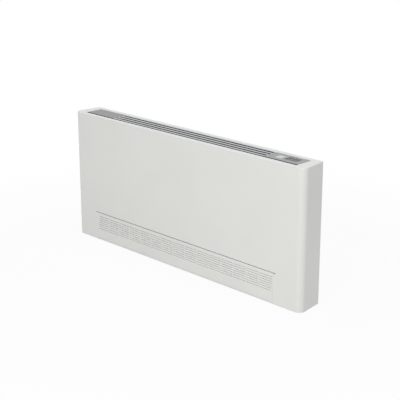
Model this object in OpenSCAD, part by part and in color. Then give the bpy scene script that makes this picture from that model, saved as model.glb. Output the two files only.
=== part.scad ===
// Slim fan coil unit for room heating and cooling, standing against a wall.
// Millimetres. Front toward -Y, wall toward +Y, floor at z = 0, middle of the width at x = 0.
// Air comes in through the slotted panel low in the front, passes the filter and the leaning
// finned coil, and the crossflow fan blows it up between the bars of the outlet grille.

/* [Casing] */
// Width across the front
width = 1335; // [1135:5:1735]
// Height from the floor
height = 579; // [570:1:620]
// Depth from the front face to the wall
depth = 131; // [129:1:145]
// How far each side leans in between the front face and the wall
side_lean = 18; // [8:1:24]
// Radius of the two upright front corners
corner_r = 26; // [20:1:30]
// Steel sheet of the casing and the wall frame
sheet = 1.2; // [1:0.1:1.5]
// Thickness of the top surround
top_t = 3; // [2.5:0.1:4]
// Rounding of the top surround's outer edge
edge_r = 2.4; // [1:0.1:2.4]
// Radius of the four wall screw holes
wall_hole_r = 4.5; // [3:0.5:6]
// Distance of the wall screw holes from the widest line of each side
wall_hole_in = 147.5; // [140:0.5:180]
// Wall screw holes, centre to centre in height
wall_hole_dz = 380; // [340:5:400]

/* [Top recess] */
// Solid strip between the front face and the open front gap
lip_w = 19.5; // [15:0.5:22]
// Width of each air gap, the front gap included
air_gap = 11; // [9:0.5:12]
// Width of each outlet bar as seen from above
bar_w = 12.3; // [10:0.1:13]
// Number of outlet bars
bar_count = 3; // [2:1:3]
// Solid margin between each end of the recess and the side, at the front
end_margin = 52; // [46:1:60]
// Distance from the widest line of each side to the outlet grille
end_zone = 225; // [205:1:250]
// Height of the plates' and the grille's rims
plate_h = 8; // [6:0.5:10]

/* [Intake grille] */
// Distance from the widest line of each side to the intake grille
intake_in = 139; // [134:1:160]
// Height of its lower edge above the floor
intake_z0 = 5; // [4:0.5:8]
// Height of its upper edge above the floor
intake_z1 = 128.4; // [120:0.1:132]
// Joint line left open above it
intake_joint = 3; // [2.5:0.1:4]
// Number of slot rows
slot_rows = 7; // [5:1:7]
// Distance from one slot row to the next
slot_pitch = 9.7; // [8.5:0.1:10]
// Height of one slot
slot_h = 4.6; // [3.5:0.1:5]
// Number of slots in a row
slot_cols = 15; // [9:1:18]
// Rise of the louvre behind each slot, toward the inside
louvre_a = 40; // [30:1:45]

/* [Coil and fan] */
// Lean of the coil toward the front at its top
coil_a = 15; // [10:1:16]
// Length of the fins along the coil's lean
coil_l = 200; // [180:1:202]
// Thickness of the fin pack
coil_t = 44; // [40:1:46]
// Number of fins
fin_count = 74; // [50:1:90]
// Number of tubes in each of the two rows
tube_rows = 8; // [6:2:8]
// Outer radius of the coil tubes
tube_r = 5; // [4:0.1:5.2]
// Outer radius of the crossflow fan
fan_r = 44; // [38:0.5:45]
// Number of fan blades
blade_count = 30; // [20:1:34]
// Number of fan sections between the end discs
fan_sections = 6; // [4:1:8]
// Outer radius of the water unions
union_r = 13.2; // [10:0.1:14]
// Outer radius of the drain spout
spout_r = 8; // [6:0.5:9]

/* [Hidden] */
$fn = 64;

// Shared clearances
fit = 0.3;
running = 0.05;
overrun = 5;

// Casing lines
front = -depth / 2;
wall = depth / 2;
lean_a = atan(side_lean / depth);
corner_x = width / 2 - corner_r;
corner_y = front + corner_r;
case_top = height - top_t;
corner_steps = 20;
return_w = 12;
fold = 8;
seam_tab = 14;
rail_leg = 5;
frame_z0 = 20;
function side_x(y, inset = 0) = corner_x + (corner_r - inset) / cos(lean_a) - (y - corner_y) * tan(lean_a);

// Top recess
bar_pitch = air_gap + bar_w;
recess_x = width / 2 - end_margin;
recess_y0 = front + lip_w;
plate_y0 = recess_y0 + air_gap;
rear_strip_share = 0.6;
rear_strip = bar_w * rear_strip_share;
recess_y1 = plate_y0 + bar_count * bar_pitch + rear_strip;
flush = 0.8;
seat_z = height - flush - plate_h;
ledge_w = 6;
ledge_t = 2;
rim_t = 2;
rim_h = plate_h + flush + ledge_t;
plate_skin = 1.8;
outlet_x = width / 2 - end_zone;
plate_in = outlet_x + fit;
plate_out = recess_x - fit;

// Intake grille
intake_x = width / 2 - intake_in;
side_joint = 0.8;
skin = 2;
rib_t = 1.6;
rib_d = 8;
slot_margin = 24;
slot_web = 7;
slot_z0 = 52.7;
hinge_back = 4;
hinge_up = 6;
hinge_y = front + hinge_back;
hinge_z = intake_z0 + hinge_up;
pin_r = 2.5;
pin_out = 1.5;
channel_d = 22;
channel_lip = 12;
flange_x = intake_x + side_joint;
flange_d = 28;
cut_z = intake_z1 + intake_joint;

// Filter
filter_t = 8;
filter_y = front + skin + rib_d + fit + filter_t / 2;
filter_play = 1.2;
filter_x = intake_x - rib_t - filter_play;
filter_bar = 8;
filter_z0 = intake_z0 + rib_t + fit;
filter_below = 6;
filter_z1 = intake_z1 - filter_below;
filter_ribs = 5;
mesh_t = 0.8;
tab_w = 60;
tab_h = 4;

// Bulkheads
bulk_out = 5.5;
bulk_x = outlet_x + bulk_out;
bulk_inset = 25.5;
bulk_front = front + bulk_inset;
bulk_flange = 15;

// Coil
coil_from_wall = 57.5;
coil_below_top = 304;
coil_y = wall - coil_from_wall;
coil_z = height - coil_below_top;
fin_t = 0.4;
end_t = 1.5;
tube_pitch = coil_l / tube_rows;
row_share = 0.25;
row_off = coil_t * row_share;
coil_x = bulk_x - end_t;
fin_margin = 3;
fin_pitch = 2 * (coil_x - fin_margin) / fin_count;
bulk_step = 15;
bulk_step_z = coil_z + bulk_step;

// Condensate tray
tray_from_wall = 60.5;
tray_below_coil = 131;
tray_out = 80;
spout_from_wall = 31.5;
tray_y0 = wall - tray_from_wall;
tray_z0 = coil_z - tray_below_coil;
tray_h = 22;
tray_t = 1.5;
tray_x0 = -bulk_x - tray_out;
spout_l = 26;
spout_y = wall - spout_from_wall;
bulk_lift = 2;
bulk_z0 = tray_z0 + tray_h + bulk_lift;

// Water pipes
pipe_r = 8;
pipe_bend = 26;
flow_out = 38;
return_out = 92;
union_lift = 22;
flow_x = -bulk_x - flow_out;
return_x = -bulk_x - return_out;
union_l = 16;
union_z = tray_z0 + tray_h + union_lift;
hex_r = 17;
hex_l = 12;

// Fan
fan_from_wall = 59.5;
fan_below_top = 139;
fan_y = wall - fan_from_wall;
fan_z = height - fan_below_top;
hub_r = 12;
disc_t = 2;
blade_t = 1.1;
blade_band = 11;
blade_sweep_r = 13;
blade_rise = 10.4;
fan_end_gap = 8;
fan_x = bulk_x - fan_end_gap;
shaft_r = 5;
guide_t = 1.5;
guide_gap = 8;
tongue_gap = 4;
tongue_l = 16;
rear_guide_angle = -62;
tongue_angles = [150, 195];

// Bearing and motor
bearing_r = 13;
bearing_l = 12;
rubber_t = 5;
motor_r = 40;
motor_l = 56;
boss_r = 15;
boss_l = 10;
bracket_t = 2;
post_r = 5;
post_l = 8;
post_reach = 46;

// Electrical box
box_w = 84;
box_d = 46;
box_h = 200;
box_t = 2;
box_gap = 9.3;
box_below_fan = 245;
box_x = side_x(wall) - return_w - box_gap - box_w;
box_z = fan_z - box_below_fan;
lid_screw_r = 1.9;
lid_head_r = 3.5;
lid_boss_r = 5;

// Control plate fittings
window_w = 32;
window_d = 34;
window_side_share = 0.48;
window_front_share = 0.477;
keypad_w = 66;
keypad_d = 46;
keypad_side_share = 0.608;
keypad_front_share = 0.662;
keypad_t = 2;
key_up = 0.8;
key_travel = 0.8;
key_flange = 1.2;
key_flange_t = 1;
key_body = keypad_t + key_up;
board_t = 1.6;
board_below_top = 13;
board_z = height - board_below_top;
seal_t = 1.2;
spare_w = plate_out - plate_in - window_w - keypad_w;
plate_d = recess_y1 - plate_y0;
window_x = plate_in + window_side_share * spare_w + window_w / 2;
keypad_x = plate_in + window_w + keypad_side_share * spare_w + keypad_w / 2;
window_y = plate_y0 + window_front_share * (plate_d - window_d) + window_d / 2;
keypad_y = plate_y0 + keypad_front_share * (plate_d - keypad_d) + keypad_d / 2;

// Plan of the casing, moved inward by inset, and drawn past the wall for cutting
function arc(c, r, a0, a1, n) = [for (k = [0 : n]) let (a = a0 + (a1 - a0) * k / n) c + r * [cos(a), sin(a)]];
function right_half(inset, past) = concat(
    arc([corner_x, corner_y], corner_r - inset, -90, lean_a, corner_steps),
    [[side_x(wall + past, inset), wall + past]]
);
function mirrored(line) = [for (k = [len(line) - 1 : -1 : 0]) [-line[k][0], line[k][1]]];
module plan(inset = 0, past = 0) {
    half = right_half(inset, past);
    polygon(concat(half, mirrored(half)));
}

// Box from one corner to the other
module span(a, b) {
    translate(a) cube([b[0] - a[0], b[1] - a[1], b[2] - a[2]]);
}

// Draws its children on the left, or on both ends, of the unit
module left_side() {
    mirror([1, 0, 0]) children();
}
module both_sides() {
    children();
    left_side() children();
}

// Bar along X with a profile drawn in Y and Z
module along_x(x0, x1) {
    translate([x0, 0, 0]) rotate([90, 0, 90]) linear_extrude(x1 - x0) children();
}

// Round bar along X
module rod_x(x0, x1, r) {
    translate([x0, 0, 0]) rotate([0, 90, 0]) cylinder(r = r, h = x1 - x0);
}

// Flat front sheet with the opening for the intake grille, folded in at the top, the opening and the feet
module front_cover() {
    color([0.93, 0.93, 0.92]) difference() {
        union() {
            span([-corner_x, front, 0], [corner_x, front + sheet, case_top]);
            span([-corner_x + seam_tab, front, case_top - sheet], [corner_x - seam_tab, front + fold, case_top]);
            span([-flange_x, front, cut_z], [flange_x, front + fold, cut_z + sheet]);
            both_sides() span([flange_x, front, 0], [corner_x - seam_tab, front + fold, sheet]);
        }
        span([-flange_x, front - overrun, -overrun], [flange_x, front + sheet + fit, cut_z]);
    }
}

// Folded brackets behind the front sheet, one on each side of the opening, with the hinge pins' holes
module hinge_brackets() {
    color([0.72, 0.74, 0.75]) both_sides() difference() {
        union() {
            span([flange_x, front + sheet, sheet], [flange_x + sheet, front + flange_d, cut_z]);
            span([flange_x, front + sheet, sheet], [flange_x + return_w, front + 2 * sheet, cut_z]);
        }
        translate([0, hinge_y, hinge_z]) rod_x(flange_x - overrun, flange_x + sheet + overrun, pin_r + running);
    }
}

// Side sheet rolled round the front corner, with a tab behind the front sheet and a return at the wall
module side_panel_right() {
    color([0.88, 0.88, 0.86]) linear_extrude(case_top) difference() {
        intersection() {
            plan();
            union() {
                translate([corner_x, front]) square([width, depth]);
                seam_strip();
            }
        }
        difference() {
            plan(sheet, overrun);
            translate([side_x(wall) - sheet - return_w, wall - 2 * sheet]) square([return_w * 2, sheet]);
            seam_strip();
        }
    }
}
module seam_strip() {
    translate([corner_x - seam_tab, front + sheet]) square([seam_tab + fold / 2, sheet]);
}
module side_panel_left() {
    left_side() side_panel_right();
}

// Pale frame round the recess, with a rounded outer edge in fine steps, a skirt and a ledge for the plates
edge_steps = 6;
module top_surround() {
    color([0.96, 0.96, 0.95]) difference() {
        union() {
            for (i = [0 : edge_steps]) let (a = 90 * i / edge_steps)
                translate([0, 0, case_top])
                    linear_extrude(top_t - edge_r + edge_r * sin(a)) plan(edge_r * (1 - cos(a)));
            span([-recess_x - rim_t, recess_y0 - rim_t, height - rim_h], [recess_x + rim_t, recess_y1 + rim_t, case_top]);
        }
        span([-recess_x, recess_y0, seat_z], [recess_x, recess_y1, height + overrun]);
        span([-recess_x + ledge_w, recess_y0, height - rim_h - overrun],
            [recess_x - ledge_w, recess_y1 - ledge_w, height + overrun]);
        span([-recess_x, recess_y0, height - rim_h - overrun], [recess_x, plate_y0, height + overrun]);
    }
}

// Wall frame: a flat sheet with the cable hole, a plate at its left end with the pipe window,
// four wall screw holes in all, and two angle rails that carry both
frame_half = side_x(wall, sheet) - fit;
plate_seat = 3;
pipe_plate_x = bulk_x + sheet + bulk_flange - plate_seat;
window_margin = 36;
pipe_window_h = 108;
module wall_sheet(x0, x1) {
    color([0.72, 0.74, 0.75]) difference() {
        span([x0, wall - sheet, frame_z0], [x1, wall, case_top - fit]);
        for (x = [-1, 1], z = [-1, 1]) translate([x * (width / 2 - wall_hole_in), wall, height / 2 + z * wall_hole_dz / 2])
            rotate([90, 0, 0]) cylinder(r = wall_hole_r, h = 2 * overrun, center = true);
        children();
    }
}
module back_panel() {
    wall_sheet(-pipe_plate_x + fit, frame_half) {
        translate([grommet_x, wall, grommet_z]) rotate([90, 0, 0])
            cylinder(r = grommet_r, h = 2 * overrun, center = true);
        frame_screw_places() rotate([90, 0, 0]) cylinder(r = screw_r + running, h = 2 * overrun, center = true);
    }
}
module pipe_plate() {
    wall_sheet(-frame_half, -pipe_plate_x)
        span([-side_x(wall) + window_margin, wall - overrun, tray_z0 + tray_h + return_w],
            [-bulk_x - bulk_flange - return_w, wall + overrun, tray_z0 + tray_h + return_w + pipe_window_h]);
}

module frame_rails() {
    rail_x = frame_half - return_w - sheet;
    color([0.72, 0.74, 0.75]) {
        rail_angle(rail_x, case_top - fit, -1);
        rail_angle(rail_x, frame_z0, 1);
    }
}
module rail_angle(rail_x, z, up) {
    translate([0, wall - sheet, z]) mirror([0, 0, up > 0 ? 0 : 1]) {
        span([-rail_x, -return_w, 0], [rail_x, 0, sheet]);
        span([-rail_x, -sheet, 0], [rail_x, 0, rail_leg]);
    }
}

// Screws that hold the bulkheads to the wall frame
screw_r = 2;
screw_head_r = 4;
screw_head_t = 2.4;
screw_rows = 3;
module frame_screw_places() {
    both_sides() for (i = [0 : screw_rows - 1])
        translate([bulk_x + sheet + bulk_flange / 2, wall, bulk_z0 + (i + 0.5) * (seat_z - bulk_z0) / screw_rows])
            children();
}
module frame_screws() {
    color([0.7, 0.7, 0.72]) frame_screw_places() rotate([90, 0, 0]) {
        cylinder(r = screw_r, h = 2 * sheet);
        translate([0, 0, 2 * sheet]) cylinder(r = screw_head_r, h = screw_head_t);
    }
}

// Places along the coil's lean and across its rows
module on_coil() {
    translate([0, coil_y, coil_z]) rotate([coil_a, 0, 0]) children();
}
function tube_z(i) = (i - (tube_rows - 1) / 2) * tube_pitch;

// Folded sheet that carries the coil, the fan and the ends of the grille
module bulkhead_right() {
    color([0.72, 0.74, 0.75]) difference() {
        union() {
            along_x(bulk_x, bulk_x + sheet) polygon([
                [bulk_front, bulk_z0], [wall - sheet, bulk_z0], [wall - sheet, seat_z - ledge_t],
                [plate_y0, seat_z - ledge_t], [plate_y0, bulk_step_z + bulk_flange], [bulk_front, bulk_step_z]
            ]);
            span([bulk_x, wall - 2 * sheet, bulk_z0], [bulk_x + sheet + bulk_flange, wall - sheet, seat_z - ledge_t - bulk_flange]);
            span([outlet_x - bulk_flange, plate_y0, seat_z - sheet], [bulk_x + sheet, recess_y1 - ledge_w - fit, seat_z]);
            span([bulk_x, plate_y0, seat_z - ledge_t - sheet], [bulk_x + sheet, recess_y1 - ledge_w - fit, seat_z]);
        }
        on_coil() span([bulk_x - overrun, -coil_t / 2 + ledge_w, -coil_l / 2 + ledge_w],
            [bulk_x + overrun, coil_t / 2 - ledge_w, coil_l / 2 - ledge_w]);
        translate([0, fan_y, fan_z]) rod_x(bulk_x - overrun, bulk_x + overrun, bearing_r + rubber_t + running);
        frame_screw_places() rotate([90, 0, 0]) cylinder(r = screw_r + running, h = 4 * overrun, center = true);
    }
}
module bulkhead_left() {
    left_side() bulkhead_right();
}

// Shallow moulded lid with a rim, as both top plates are
module lid(x0, x1) {
    difference() {
        span([x0, plate_y0, seat_z], [x1, recess_y1 - fit, height - flush]);
        span([x0 + plate_skin, plate_y0 + plate_skin, seat_z - overrun],
            [x1 - plate_skin, recess_y1 - fit - plate_skin, height - flush - plate_skin]);
    }
}
module left_top_plate() {
    color([0.66, 0.67, 0.68]) left_side() lid(plate_in, plate_out);
}
module control_plate() {
    color([0.74, 0.76, 0.77]) difference() {
        union() {
            lid(plate_in, plate_out);
            board_posts() cylinder(r = post_r / 2, h = height - flush - plate_skin - board_z - board_t);
        }
        window_cut(0);
        translate([keypad_x, keypad_y, height - flush])
            cube([keypad_w, keypad_d, 2 * keypad_t], center = true);
        translate([keypad_x, keypad_y, height - flush])
            cube([keypad_w - 2 * ledge_t, keypad_d - 2 * ledge_t, 2 * plate_h], center = true);
    }
}
module window_cut(less) {
    translate([window_x, window_y, height - flush]) cube([window_w - less, window_d - less, 2 * plate_skin + less], center = true);
}
module board_posts() {
    for (x = [plate_in + 3 * post_r, plate_out - 3 * post_r], y = [plate_y0 + 2 * post_r, recess_y1 - 2 * post_r])
        translate([x, y, board_z + board_t]) children();
}

// Dark strip that closes the front of the plates and the bars, along the open front gap
module gap_seal() {
    color([0.15, 0.15, 0.15]) span([-recess_x, plate_y0 - seal_t, height - rim_h], [recess_x, plate_y0, height - flush - fit]);
}

// Clear window over the display
module display_window() {
    color([0.8, 0.86, 0.86]) translate([window_x, window_y, height - flush - plate_skin / 2])
        cube([window_w - 2 * fit, window_d - 2 * fit, plate_skin], center = true);
}

// Keypad field. Keys 0 and 1 are narrow and stand on the left, keys 2 to 5 stand two by two on the right
key_gap = 0.4;
key_step = 3.5;
keypad_edge = 4;
bar_key = [7, 36];
square_key = [16, 16];
module key_place(i) {
    x = i < 2 ? -keypad_w / 2 + keypad_edge + bar_key[0] / 2 + i * (bar_key[0] + key_step)
        : keypad_w / 2 - keypad_edge - square_key[0] / 2 - ((i + 1) % 2) * (square_key[0] + key_step);
    y = i < 2 ? 0 : (i < 4 ? 1 : -1) * (square_key[1] + key_step) / 2;
    translate([keypad_x + x, keypad_y + y, height - flush]) children();
}
function key_size(i) = i < 2 ? bar_key : square_key;
module keypad_frame() {
    color([0.3, 0.32, 0.34]) difference() {
        translate([keypad_x, keypad_y, height - flush - keypad_t / 2])
            cube([keypad_w - 2 * running, keypad_d - 2 * running, keypad_t], center = true);
        for (i = [0 : 5]) key_place(i)
            cube([key_size(i)[0] + 2 * key_gap, key_size(i)[1] + 2 * key_gap, 4 * keypad_t], center = true);
    }
}

// One key: a cap through the field and a flange below it that keeps it in
module key(i) {
    s = key_size(i);
    color([0.42, 0.44, 0.46]) key_place(i) {
        translate([0, 0, key_up - key_body / 2]) cube([s[0], s[1], key_body], center = true);
        translate([0, 0, -keypad_t - fit - key_flange_t / 2])
            cube([s[0] + 2 * key_flange, s[1] + 2 * key_flange, key_flange_t], center = true);
        translate([0, 0, -keypad_t - fit]) cylinder(r = key_flange * 2, h = fit * 2);
    }
}
module key_minus() {
    key(0);
}
module key_plus() {
    key(1);
}
module key_power() {
    key(2);
}
module key_mode() {
    key(3);
}
module key_fan() {
    key(4);
}
module key_timer() {
    key(5);
}

// Board under the control plate, with a switch under each key and the display's block
module circuit_board() {
    switch_top = height - flush - keypad_t - fit - key_flange_t - key_travel - fit;
    color([0.1, 0.4, 0.25]) {
        span([plate_in + 2 * post_r, plate_y0 + post_r, board_z], [plate_out - 2 * post_r, recess_y1 - post_r, board_z + board_t]);
        for (i = [0 : 5]) key_place(i) translate([0, 0, board_z + board_t - height + flush])
            cylinder(r = bar_key[0] / 2, h = switch_top - board_z - board_t);
        translate([window_x, window_y, 0]) span([-window_w / 2 + fit, -window_d / 2 + fit, board_z + board_t],
            [window_w / 2 - fit, window_d / 2 - fit, height - flush - plate_skin]);
    }
}

// Aluminium outlet bars: a cap with a web below, and the rear strip
bar_web_t = 1.8;
bar_web_h = 14;
bar_cap_t = 2.2;
module outlet_bars() {
    x1 = outlet_x - rib_t;
    web_x = outlet_x - bulk_flange - fit;
    color([0.78, 0.79, 0.8]) difference() {
        union() {
            for (i = [0 : bar_count - 1]) translate([0, plate_y0 + i * bar_pitch, height - flush]) {
                along_x(-x1, x1) translate([0, -bar_cap_t]) square([bar_w, bar_cap_t]);
                along_x(-web_x, web_x) translate([(bar_w - bar_web_t) / 2, -bar_web_h]) square([bar_web_t, bar_web_h]);
            }
            along_x(-x1, x1) {
                translate([plate_y0 + bar_count * bar_pitch, height - flush - bar_cap_t]) square([rear_strip - fit, bar_cap_t]);
                translate([plate_y0 + bar_count * bar_pitch, height - flush - plate_h]) square([bar_web_t, plate_h]);
            }
        }
        tie_rod_places() cylinder(r = rod_r + running, h = depth);
    }
}

// Plates that close the bars' ends and stand on the bulkheads
module outlet_ends() {
    color([0.78, 0.79, 0.8]) both_sides()
        span([outlet_x - rib_t, plate_y0, seat_z], [outlet_x, recess_y1 - fit, height - flush]);
}

// Thin rods that run through the bars' webs
rod_r = 1.2;
rod_count = 5;
module tie_rod_places() {
    for (i = [1 : rod_count]) translate([-outlet_x + i * 2 * outlet_x / (rod_count + 1), plate_y0, height - flush - plate_h / 2])
        rotate([-90, 0, 0]) children();
}
module outlet_tie_rods() {
    color([0.6, 0.61, 0.62]) tie_rod_places() translate([0, 0, (bar_w - bar_web_t) / 2])
        cylinder(r = rod_r, h = bar_count * bar_pitch - (bar_w - bar_web_t) / 2 + bar_web_t);
}

// Slotted panel with a louvre behind each slot row, hinge pins and the filter's channels
module intake_grille() {
    field_x = intake_x - slot_margin;
    col = 2 * field_x / slot_cols;
    lip_y = front + channel_d;
    color([0.92, 0.92, 0.91]) difference() {
        union() {
            span([-intake_x, front, intake_z0], [intake_x, front + skin, intake_z1]);
            span([-intake_x, front, intake_z0], [intake_x, front + skin + rib_d, intake_z0 + rib_t]);
            span([-intake_x, front, intake_z1 - rib_t], [intake_x, front + skin + rib_d, intake_z1]);
            for (i = [0 : slot_cols])
                translate([-field_x + i * col, 0, 0])
                    span([-rib_t / 2, front, intake_z0], [rib_t / 2, front + skin + rib_d, intake_z1]);
            for (r = [0 : slot_rows - 1])
                translate([0, front + skin, slot_z0 + r * slot_pitch - slot_h / 2]) along_x(-field_x, field_x) louvre();
            both_sides() {
                span([intake_x - rib_t, front, intake_z0], [intake_x, lip_y, intake_z1]);
                span([intake_x - channel_lip, lip_y - rib_t, intake_z0], [intake_x, lip_y, intake_z1]);
                span([intake_x - channel_lip, front, intake_z0], [intake_x, lip_y, intake_z0 + rib_t]);
                translate([0, hinge_y, hinge_z]) rod_x(intake_x - rib_t, flange_x + sheet + pin_out, pin_r);
            }
        }
        for (r = [0 : slot_rows - 1], i = [0 : slot_cols - 1])
            translate([-field_x + (i + 0.5) * col, front, slot_z0 + r * slot_pitch])
                cube([col - slot_web, 2 * skin, slot_h], center = true);
    }
}
module louvre() {
    rise = rib_d * tan(louvre_a);
    polygon([[0, -rib_t], [rib_d, rise - rib_t], [rib_d, rise], [0, 0]]);
}

// Magnets on the cover's returns that hold the grille shut
magnet = [10, 6, 24];
module magnet_catches() {
    color([0.25, 0.25, 0.26]) both_sides() span([flange_x - magnet[0], front + channel_d + fit, intake_z1 - magnet[2] - rib_d],
        [flange_x, front + channel_d + fit + magnet[1], intake_z1 - rib_d]);
}

// Filter frame with upright ribs and a pull tab, and its mesh
module filter_frame() {
    y0 = filter_y - filter_t / 2 + fit;
    y1 = filter_y + filter_t / 2;
    color([0.2, 0.2, 0.22]) difference() {
        union() {
            span([-filter_x, y0, filter_z0], [filter_x, y1, filter_z1]);
            span([-tab_w / 2, y0, filter_z1], [tab_w / 2, y0 + rib_t, filter_z1 + tab_h]);
        }
        for (i = [0 : filter_ribs]) {
            cell = (2 * filter_x - filter_bar) / (filter_ribs + 1);
            x = -filter_x + filter_bar + i * cell;
            span([x, y0 - overrun, filter_z0 + filter_bar], [x + cell - filter_bar, y1 + overrun, filter_z1 - filter_bar]);
        }
        span([-filter_x + filter_bar / 2, filter_y - mesh_t / 2, filter_z0 + filter_bar / 2],
            [filter_x - filter_bar / 2, filter_y + mesh_t / 2, filter_z1 - filter_bar / 2]);
    }
}
module filter_mesh() {
    color([0.45, 0.47, 0.5]) span([-filter_x + filter_bar / 2, filter_y - mesh_t / 2, filter_z0 + filter_bar / 2],
        [filter_x - filter_bar / 2, filter_y + mesh_t / 2, filter_z1 - filter_bar / 2]);
}

// Fins of the coil, pierced for both rows of tubes
module coil_fins() {
    color([0.75, 0.78, 0.8]) on_coil() for (i = [0 : fin_count - 1])
        translate([(i - (fin_count - 1) / 2) * fin_pitch - fin_t / 2, 0, 0]) rotate([90, 0, 90]) linear_extrude(fin_t) fin_outline(fit);
}
module fin_outline(play) {
    difference() {
        square([coil_t, coil_l], center = true);
        for (i = [0 : tube_rows - 1], s = [-1, 1]) translate([s * row_off, tube_z(i)]) circle(r = tube_r + play);
    }
}
module coil_end_plates() {
    color([0.7, 0.72, 0.73]) on_coil() both_sides() translate([coil_x, 0, 0]) rotate([90, 0, 90])
        linear_extrude(end_t) fin_outline(running);
}

// Copper tubes: straight lengths, return bends on both ends and the two stubs for the pipes
bend_x = 12;
module return_bend(step) {
    rotate([90, 0, 0]) rotate([0, 0, -90]) rotate_extrude(angle = 180) translate([step / 2, 0]) circle(r = tube_r);
}
module coil_tubes() {
    end = bulk_x + bend_x;
    color([0.72, 0.42, 0.28]) on_coil() {
        for (i = [0 : tube_rows - 1], s = [-1, 1]) translate([0, s * row_off, tube_z(i)]) rod_x(-end, end, tube_r);
        for (s = [-1, 1]) {
            for (i = [0 : 2 : tube_rows - 2])
                translate([end, s * row_off, tube_z(i) + tube_pitch / 2]) return_bend(tube_pitch);
            for (i = [1 : 2 : tube_rows - 3])
                translate([-end, s * row_off, tube_z(i) + tube_pitch / 2]) mirror([1, 0, 0]) return_bend(tube_pitch);
        }
        translate([-end, 0, tube_z(0)]) mirror([1, 0, 0]) rotate([90, 0, 0]) return_bend(2 * row_off);
    }
}

// Water pipe from the coil's stub, out to the left and down to a threaded union
module water_pipe(x, s) {
    stub_y = coil_y + s * row_off * cos(coil_a) - tube_z(tube_rows - 1) * sin(coil_a);
    stub_z = coil_z + s * row_off * sin(coil_a) + tube_z(tube_rows - 1) * cos(coil_a);
    start = -bulk_x - bend_x;
    translate([0, stub_y, stub_z]) {
        rod_x(x + pipe_bend, start, pipe_r);
        translate([x + pipe_bend, 0, -pipe_bend]) rotate([90, 0, 0]) rotate([0, 0, 90]) rotate_extrude(angle = 90)
            translate([pipe_bend, 0]) circle(r = pipe_r);
    }
    translate([x, stub_y, union_z]) cylinder(r = pipe_r, h = stub_z - pipe_bend - union_z);
    translate([x, stub_y, union_z]) cylinder(r = hex_r, h = hex_l, $fn = 6);
    translate([x, stub_y, union_z - union_l]) cylinder(r = union_r, h = union_l);
}
module flow_pipe() {
    color([0.75, 0.6, 0.3]) water_pipe(flow_x, -1);
}
module return_pipe() {
    color([0.75, 0.6, 0.3]) water_pipe(return_x, 1);
}

// Small valves on the pipes: the vent on the upper one, the drain cock on the lower one
vent_r = 4;
vent_l = 14;
vent_head_r = 6.5;
vent_head_l = 7;
vent_up = 40;
cock_up = 16;
vent_z = union_z + hex_l + vent_up;
cock_z = union_z + hex_l + cock_up;
module valve(x, s, z) {
    stub_y = coil_y + s * row_off * cos(coil_a) - tube_z(tube_rows - 1) * sin(coil_a);
    translate([x, stub_y, z]) difference() {
        rotate([0, -90, 0]) {
            cylinder(r = vent_r, h = pipe_r + vent_l);
            translate([0, 0, pipe_r + vent_l]) cylinder(r = vent_head_r, h = vent_head_l, $fn = 6);
        }
        cylinder(r = pipe_r, h = 4 * vent_r, center = true);
    }
}
module air_vent() {
    color([0.78, 0.66, 0.36]) valve(flow_x, -1, vent_z);
}
module drain_cock() {
    color([0.78, 0.66, 0.36]) valve(return_x, 1, cock_z);
}

// Folded trough under the coil, with its drain spout
module condensate_tray() {
    color([0.8, 0.8, 0.8]) difference() {
        span([tray_x0, tray_y0, tray_z0], [bulk_x, wall - sheet, tray_z0 + tray_h]);
        span([tray_x0 + tray_t, tray_y0 + tray_t, tray_z0 + tray_t], [bulk_x - tray_t, wall - sheet - tray_t, tray_z0 + tray_h + overrun]);
        translate([tray_x0 + 2 * spout_r, spout_y, tray_z0]) cylinder(r = spout_r - tray_t, h = 3 * overrun, center = true);
    }
}
module drain_spout() {
    color([0.3, 0.3, 0.32]) translate([tray_x0 + 2 * spout_r, spout_y, tray_z0 - spout_l]) difference() {
        cylinder(r = spout_r, h = spout_l);
        translate([0, 0, -overrun]) cylinder(r = spout_r - tray_t, h = spout_l + 2 * overrun);
    }
}

// Crossflow fan: curved blades between ring discs, closed by two end discs with hubs
module blade_ring() {
    intersection() {
        difference() {
            circle(r = fan_r);
            circle(r = fan_r - blade_band);
        }
        for (i = [0 : blade_count - 1]) rotate([0, 0, i * 360 / blade_count])
            translate([fan_r - blade_band / 2, blade_rise]) difference() {
                circle(r = blade_sweep_r);
                circle(r = blade_sweep_r - blade_t);
                translate([-2 * blade_sweep_r, 0]) square([4 * blade_sweep_r, 2 * blade_sweep_r]);
            }
    }
}
module crossflow_fan() {
    section = (2 * fan_x - disc_t) / fan_sections;
    color([0.25, 0.26, 0.28]) translate([0, fan_y, fan_z]) {
        along_x(-fan_x, fan_x) blade_ring();
        for (i = [1 : fan_sections - 1]) translate([-fan_x + i * section, 0, 0]) difference() {
            rod_x(0, disc_t, fan_r);
            rod_x(-overrun, disc_t + overrun, fan_r - blade_band);
        }
        for (s = [0, 1]) translate([s ? fan_x - disc_t : -fan_x, 0, 0]) rod_x(0, disc_t, fan_r);
        rod_x(-fan_x - disc_t, -fan_x, hub_r);
        rod_x(-bulk_x - sheet - bearing_l, -fan_x, shaft_r);
        rod_x(fan_x, fan_x + disc_t, hub_r);
    }
}

// Steel shaft that the motor turns, clamped in the fan's right hub
module motor_shaft() {
    color([0.6, 0.6, 0.62]) translate([0, fan_y, fan_z]) rod_x(fan_x + disc_t, motor_x + motor_l + 2 * disc_t, shaft_r);
}

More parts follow.
